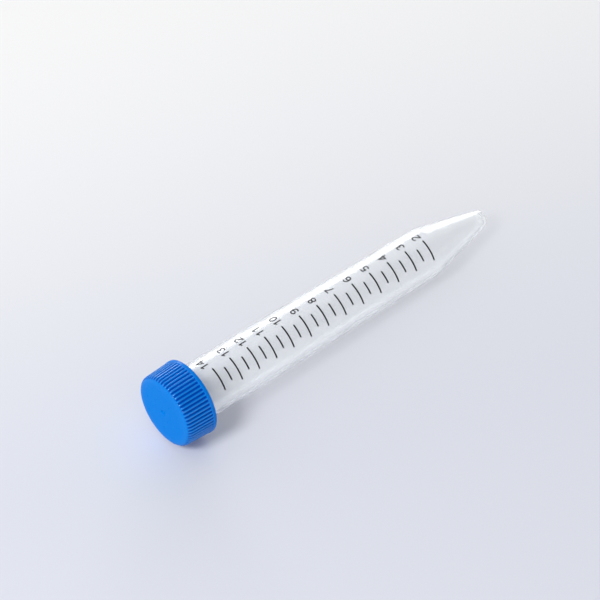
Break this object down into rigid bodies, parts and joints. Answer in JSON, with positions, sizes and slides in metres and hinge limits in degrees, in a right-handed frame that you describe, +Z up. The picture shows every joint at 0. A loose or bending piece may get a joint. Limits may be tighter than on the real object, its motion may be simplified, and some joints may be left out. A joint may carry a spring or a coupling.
{
  "type": "conical-bottom centrifuge tube with screw cap",
  "caption": "Conical-bottom 15 mL centrifuge tube of clear polypropylene with a printed volume scale and a ribbed blue screw cap, lying on its side.",
  "frame": {"origin": "on the floor, at the centre of the lying tube's bounding box", "axes": "+X runs along the lying tube from the cap to the tip, +Y is the side away from the scale, +Z is up"},
  "size_m": [0.1204, 0.0232, 0.0232],
  "materials": {
    "clear_plastic": "clear, faintly milky polypropylene, glossy outside",
    "blue_plastic": "moulded satin azure-blue plastic",
    "liner_foam": "soft white sealing foam",
    "black_ink": "black screen-printed ink"
  },
  "bodies": {
    "tube": {"tube": "clear_plastic", "graduation_lines": "black_ink", "half_lines": "black_ink", "numerals": "black_ink"},
    "seal": {"cap_liner": "liner_foam"},
    "cap": {"screw_cap": "blue_plastic"}
  },
  "joints": [
    {"name": "cap_lift", "type": "slide", "parent": "tube", "child": "seal", "axis": [-0.999, 0, 0.0452], "range_m": [0, 0.012]},
    {"name": "cap_turn", "type": "hinge", "parent": "seal", "child": "cap", "pos_m": [-0.05975, 0, 0.01204], "axis": [-0.999, 0, 0.0452], "range_deg": [0, 1440]}
  ],
  "couplings": [
    {"joint": "cap_lift", "follows": "cap_turn", "m_per_rad": 0.00047746}
  ]
}
